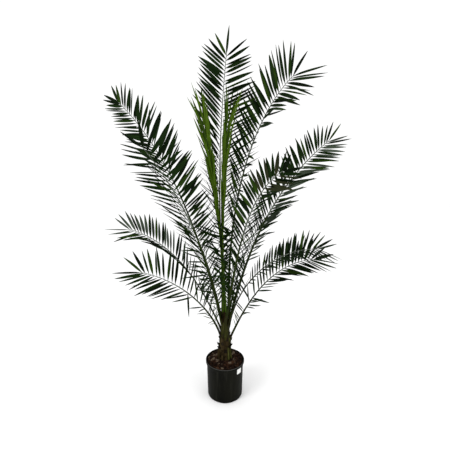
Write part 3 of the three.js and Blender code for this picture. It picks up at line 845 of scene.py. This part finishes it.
def growFibres(builder, foot, rng):
    for i in range(fibreLook["count"]):
        z = mix(foot + 0.01, fibreLook["highest"], rng.random() ** 0.9)
        heading = rng.uniform(0, 360)
        start = turned(heading, trunkRadius(z) + 0.001, z, trunkShape["centreY"])
        out, around = outward(heading)
        way = Vector((0, 0, rng.uniform(-0.3, 1.2))) + around * spread(rng, 1)
        way += out * rng.uniform(0, 0.35)
        bendWay = (out * rng.uniform(-0.3, 0.5) + around * spread(rng, 1)).normalized()
        length, width = rng.uniform(*fibreLook["lengths"]), rng.uniform(*fibreLook["widths"])
        addFibre(builder, start, way.normalized(), length, width, bendWay, rng.choice((0, 0, 1)))


def makeTrunk():
    rng = random.Random(21)
    core = makeTrunkCore()
    sheaths, stubs, fibres = Builder(), Builder(), Builder()
    foot = trunkBox[0].z
    growSheaths(sheaths, foot, rng)
    growStubs(stubs, rng)
    growFibres(fibres, foot, rng)
    straps = sheaths.make("trunkSheaths", [sheathBrown, sheathOlive])
    thicken = straps.modifiers.new("thickness", "SOLIDIFY")
    thicken.thickness = trunkLook["thickness"]
    thicken.offset = -1
    cuts = stubs.make("leafStubs", [stubDark])
    threads = fibres.make("trunkFibres", [fibreBrown, strawFibre])
    for piece in (core, straps, cuts, threads):
        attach(piece, "root")
        print(piece.name, len(piece.data.polygons), "faces")
    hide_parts("trunk")


makeTrunk()
print("trunk made")


# soil and bark chips

soilLook = {
    "rings": 46,
    "sides": 120,
    "edge": 0.016,              # how far the soil by the wall lies below its highest
    "crest": 0.0035,            # and the smooth top of the mound, under its bumps
    "mound": (0.057, 0.112),    # from the trunk's middle, where it starts to fall and where it ends
    "bump": 0.0032,
    "bumpScale": 60,
}
chipLook = {
    "chips": 620,
    "lumps": 16,
    "length": 0.020,
    "sizes": (0.3, 0.45, 0.6, 0.8, 1.1),
    "lumpSizes": (1.3, 2.0),
    "lumpPlaces": (0.3, 0.6),
    "clear": 0.05,              # of the trunk's middle
    "widths": (0.2, 0.35),
    "depths": (0.08, 0.18),
    "tilt": 0.5,
    "trim": (0.6, 1),
    "mix": (9, 6, 1),           # dark, red and tan
    "lumpMix": (1, 1, 2),
}
soilDark = soilMaterial("soilDark", (0.002, 0.001, 0.0006), (0.009, 0.0045, 0.003),
                        (0.035, 0.018, 0.012))
chipMaterials = [
    soilMaterial("chipDark", (0.004, 0.002, 0.0015), (0.016, 0.008, 0.005), (0.036, 0.020, 0.013), 220),
    soilMaterial("chipRed", (0.014, 0.006, 0.003), (0.040, 0.018, 0.009), (0.08, 0.038, 0.022), 220),
    soilMaterial("chipTan", (0.05, 0.036, 0.024), (0.12, 0.09, 0.062), (0.22, 0.175, 0.13), 220),
]


def soilHeight(x, y):
    # level by the wall and up to the mound round the trunk
    edge, top = soilBox[1].z - soilLook["edge"], soilBox[1].z
    across = math.hypot(x, y - trunkShape["centreY"])
    share = 1 - ease(across, *soilLook["mound"])
    base = mix(edge, top - soilLook["crest"], share)
    place = Vector((x * soilLook["bumpScale"], y * soilLook["bumpScale"], 0.4))
    return base + soilLook["bump"] * (noise.noise(place) + 0.5 * noise.noise(place * 2.7))


def makeSoil():
    builder = Builder()
    outer, foot, top = soilBox[1].x, soilBox[0].z, soilBox[1].z
    rows = []
    for i in range(soilLook["rings"] + 1):
        ring = circle(outer * i / soilLook["rings"], 0, soilLook["sides"])
        for place in ring:
            place.z = soilHeight(place.x, place.y)
        rows.append((ring, 0.0))
    # down the inside of the wall to the pot's floor
    for radius, z in ((outer - 0.001, top - 0.03), (outer - 0.008, foot + 0.008), (outer * 0.86, foot)):
        rows.append((circle(radius, z, soilLook["sides"]), 0.0))
    addTube(builder, rows)
    return weld(builder.make("pottingSoil", [soilDark]))


def makeChips():
    rng = random.Random(4)
    builder = Builder()
    reach = soilBox[1].x - 0.008
    for i in range(chipLook["chips"] + chipLook["lumps"]):
        lump = i >= chipLook["chips"]
        nearest, furthest = chipLook["lumpPlaces"] if lump else (0, 1)
        angle, radius = rng.uniform(0, 2 * math.pi), reach * math.sqrt(rng.uniform(nearest, furthest))
        x, y = radius * math.cos(angle), radius * math.sin(angle)
        if math.hypot(x, y - trunkShape["centreY"]) < chipLook["clear"]:
            continue
        size = rng.uniform(*chipLook["lumpSizes"]) if lump else rng.choice(chipLook["sizes"])
        size = chipLook["length"] * size
        wide, deep = rng.uniform(*chipLook["widths"]), rng.uniform(*chipLook["depths"])
        half = Vector((size / 2, size * wide, size * deep))
        turn = Matrix.Rotation(rng.uniform(0, 6.28), 3, "Z")
        turn = turn @ Matrix.Rotation(spread(rng, chipLook["tilt"]), 3, "X")
        turn = turn @ Matrix.Rotation(spread(rng, chipLook["tilt"]), 3, "Y")
        centre = Vector((x, y, soilHeight(x, y) + half.z * 0.6))
        corners = []
        for sx in (-1, 1):
            for sy in (-1, 1):
                for sz in (-1, 1):
                    tx, ty, tz = [rng.uniform(*chipLook["trim"]) for axis in range(3)]
                    corner = Vector((sx * half.x * tx, sy * half.y * ty, sz * half.z * tz))
                    corners.append(builder.point(centre + turn @ corner))
        slot = rng.choices((0, 1, 2), chipLook["lumpMix"] if lump else chipLook["mix"])[0]
        for face in ((0, 1, 3, 2), (4, 6, 7, 5), (0, 4, 5, 1), (2, 3, 7, 6), (0, 2, 6, 4), (1, 5, 7, 3)):
            builder.face(tuple(corners[k] for k in face), slot)
    return builder.make("barkChips", chipMaterials, smooth=False)


soil = makeSoil()
chips = makeChips()
for piece in (soil, chips):
    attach(piece, "root")
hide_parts("soil")
print("soil made")


# pot: a thin moulded vessel with a rolled lip and drain slots

potLook = {
    "sides": 160,
    "height": potBox[1].z,
    "lipRadius": potBox[1].x,
    "topRadius": potBox[1].x - 0.007,
    "baseRadius": 0.115,
    "wall": 0.0022,
    "floor": 0.003,
    "lipDepth": 0.015,
    "lipRoll": 0.0018,
    # how strongly the lip's rolled edge takes the painted highlight
    "lipHighlight": 0.7,
    "step": 0.0009,       # how far the wall's top stands out
    "stepFrom": 0.86,     # of the wall's height
    "footCurve": 0.009,
    "drains": 6,
    "firstDrain": 238,
    "drainWidth": 0.026,
    "drainHeight": 0.012,
    "drainReach": 0.012,  # of the cutters, in and out of the wall
    "drainSides": 20,
}


def potProfile():
    p = potLook
    lipFoot = p["height"] - p["lipDepth"]
    base, curve, roll = p["baseRadius"], p["footCurve"], p["lipRoll"]
    outside = [(0.0, 0.0), (base - curve, 0.0)]
    for i in range(1, 6):  # rounded foot
        angle = math.pi / 2 * i / 6
        outside.append((base - curve + curve * math.sin(angle), curve - curve * math.cos(angle)))
    outside.append((base, curve))
    for i in range(1, 12):  # wall with a faint moulded step near the top
        share = i / 12
        step = p["step"] if share > p["stepFrom"] else 0.0
        outside.append((mix(base, p["topRadius"], share) + step, mix(curve, lipFoot, share)))
    # out under the lip and up its face
    outside += [(p["topRadius"] + 0.0005, lipFoot - 0.001), (p["topRadius"] + 0.0012, lipFoot)]
    outside += [(p["lipRadius"] - 0.0012, lipFoot), (p["lipRadius"] - 0.0003, lipFoot + 0.0006),
                (p["lipRadius"], lipFoot + 0.002), (p["lipRadius"], p["height"] - 0.003)]
    for i in range(1, 6):  # rolled lip
        angle = math.pi * i / 6
        outside.append((p["lipRadius"] - roll + roll * math.cos(angle),
                        p["height"] - roll + roll * math.sin(angle)))
    inside = [(p["lipRadius"] - 0.0040, p["height"] - 0.004),
              (p["lipRadius"] - 0.0050, p["height"] - 0.008),
              (p["topRadius"] - p["wall"], lipFoot - 0.001), (base - p["wall"], curve + p["floor"]),
              (base - curve, p["floor"]), (0.0, p["floor"])]
    return outside + inside


def squared(value, size):
    # a rounded oblong's reach, from the cosine or sine of an angle
    return math.copysign(abs(value) ** 0.5, value) * size / 2


def makeDrainCutter():
    builder = Builder()
    for i in range(potLook["drains"]):
        out, across = outward(potLook["firstDrain"] + i * 360 / potLook["drains"])
        rows = []
        for depth in (-potLook["drainReach"], potLook["drainReach"]):
            ring = []
            for j in range(potLook["drainSides"]):
                angle = 2 * math.pi * j / potLook["drainSides"]
                wide = squared(math.cos(angle), potLook["drainWidth"])
                tall = squared(math.sin(angle), potLook["drainHeight"])
                rise = potLook["drainHeight"] / 2 + 0.001 + tall
                ring.append(out * (potLook["baseRadius"] + depth) + across * wide + Vector((0, 0, rise)))
            rows.append((ring, 0.0))
        addTube(builder, rows)
    return weld(builder.make("drainCutter", []))


def makePot():
    builder, rings, sides = Builder(), [], potLook["sides"]
    for radius, z in potProfile():
        # points on the lip's rolled edge carry the painted highlight
        onLip = radius > potLook["lipRadius"] - 0.002 and z > potLook["height"] - 0.0025
        ring = circle(radius, z, sides) if radius else [Vector((0, 0, z))]
        rings.append([builder.point(place, potLook["lipHighlight"] if onLip else 0.0) for place in ring])
    for lower, upper in zip(rings, rings[1:]):
        for j in range(sides):
            k = (j + 1) % sides
            if len(lower) == 1:
                builder.face((lower[0], upper[k], upper[j]))
            elif len(upper) == 1:
                builder.face((lower[j], lower[k], upper[0]))
            else:
                builder.face((lower[j], lower[k], upper[k], upper[j]))
    pot = builder.make("nurseryPot", [potMaterial()])
    cutter = makeDrainCutter()
    cut = pot.modifiers.new("drains", "BOOLEAN")
    cut.operation, cut.solver, cut.object = "DIFFERENCE", "EXACT", cutter
    bpy.context.view_layer.update()
    result = bpy.data.meshes.new_from_object(pot.evaluated_get(bpy.context.evaluated_depsgraph_get()))
    pot.modifiers.clear()
    pot.data = result
    pot.data.name = "nurseryPot"
    bpy.data.objects.remove(cutter)
    pot.data.polygons.foreach_set("use_smooth", [True] * len(pot.data.polygons))
    pot.data.set_sharp_from_angle(angle=math.radians(35))
    return pot


pot = makePot()
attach(pot, "root")
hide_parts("pot")
print("pot made:", len(pot.data.polygons), "faces")


# blank label on the wall, under the lip

tagLook = {
    "heading": -41,
    "width": 0.038,
    "height": 0.036,
    "thickness": 0.0008,
    "gap": 0.0003,
    "belowLip": 0.003,
    "columns": 14,
    "rows": 10,
    "corner": 0.0035,
}


def wallRadius(z):
    lipFoot = potLook["height"] - potLook["lipDepth"]
    share = (z - potLook["footCurve"]) / (lipFoot - potLook["footCurve"])
    return mix(potLook["baseRadius"], potLook["topRadius"], share)


def makeTag():
    # two skins a thickness apart, with rounded corners and a rim between them
    builder = Builder()
    top = potLook["height"] - potLook["lipDepth"] - tagLook["belowLip"]
    skins = []
    for lift in (tagLook["gap"], tagLook["gap"] + tagLook["thickness"]):
        rows = []
        for k in range(tagLook["rows"] + 1):
            z = top - tagLook["height"] * k / tagLook["rows"]
            radius = wallRadius(z) + lift + potLook["step"]
            inset = tagLook["corner"] if k in (0, tagLook["rows"]) else 0
            row = []
            for j in range(tagLook["columns"] + 1):
                across = (j / tagLook["columns"] - 0.5) * (tagLook["width"] - inset)
                heading = tagLook["heading"] + math.degrees(across / radius)
                row.append(builder.point(turned(heading, radius, z)))
            rows.append(row)
        skins.append(rows)
    inner, outer = skins
    for k in range(tagLook["rows"]):
        for j in range(tagLook["columns"]):
            for rows, order in ((inner, 1), (outer, -1)):
                corners = (rows[k][j], rows[k][j + 1], rows[k + 1][j + 1], rows[k + 1][j])
                builder.face(corners[::order])
    rims = []
    for rows in skins:
        right, left = [row[-1] for row in rows[1:]], [row[0] for row in rows[-2:0:-1]]
        rims.append(rows[0] + right + rows[-1][-2::-1] + left)
    for i in range(len(rims[0])):
        j = (i + 1) % len(rims[0])
        builder.face((rims[0][i], rims[1][i], rims[1][j], rims[0][j]))
    return builder.make("blankLabel", [tagMaterial()], smooth=False)


tag = makeTag()
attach(tag, "root")
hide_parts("tag")
print("tag made")


# floor, light and camera

studio = {
    "floorSize": 16,
    "keyLight": {"place": (-2.6, -2.2, 3.6), "target": (0, 0, 1.1), "size": 1.6, "power": 60},
    "fillLight": {"place": (2.8, -1.6, 2.2), "target": (0, 0, 1.0), "size": 2.4, "power": 22},
    "worldStrength": 1.06,
    "distance": 2.13,
    "eyeHeight": 1.687,
    "tiltDown": 12.3,
    "lens": 28.7,
    "shiftY": -0.02,
}


def makeFloor():
    bpy.ops.mesh.primitive_plane_add(size=studio["floorSize"], location=(0, 0, 0))
    floor = bpy.context.object
    floor.name = "studioFloor"
    material, tree = startMaterial("paleFloor")
    shader = tree.nodes["Principled BSDF"]
    cloud = noiseOf(tree, 1.5, 2)
    shade = rampOf(tree, cloud, [(0.3, (0.955, 0.955, 0.955)), (0.7, (0.975, 0.975, 0.975))])
    tree.links.new(shade, shader.inputs["Base Color"])
    shader.inputs["Roughness"].default_value = 0.9
    floor.data.materials.append(material)


def addArea(name):
    values = studio[name]
    data = bpy.data.lights.new(name, "AREA")
    data.size, data.energy = values["size"], values["power"]
    lamp = bpy.data.objects.new(name, data)
    bpy.context.scene.collection.objects.link(lamp)
    lamp.location = values["place"]
    aim = Vector(values["target"]) - Vector(values["place"])
    lamp.rotation_euler = aim.to_track_quat("-Z", "Y").to_euler()


def makeStudio():
    makeFloor()
    addArea("keyLight")
    addArea("fillLight")
    world = bpy.data.worlds.new("studioWorld")
    bpy.context.scene.world = world
    world.use_nodes = True
    bpy.context.scene.view_settings.view_transform = "Standard"
    background = world.node_tree.nodes["Background"]
    background.inputs["Color"].default_value = (1, 1, 1, 1)
    background.inputs["Strength"].default_value = studio["worldStrength"]
    data = bpy.data.cameras.new("camera")
    data.lens, data.sensor_width, data.shift_y = studio["lens"], 36, studio["shiftY"]
    camera = bpy.data.objects.new("camera", data)
    bpy.context.scene.collection.objects.link(camera)
    camera.location = (0, -studio["distance"], studio["eyeHeight"])
    camera.rotation_euler = (math.radians(90 - studio["tiltDown"]), 0, 0)
    bpy.context.scene.camera = camera


makeStudio()
print("studio made")
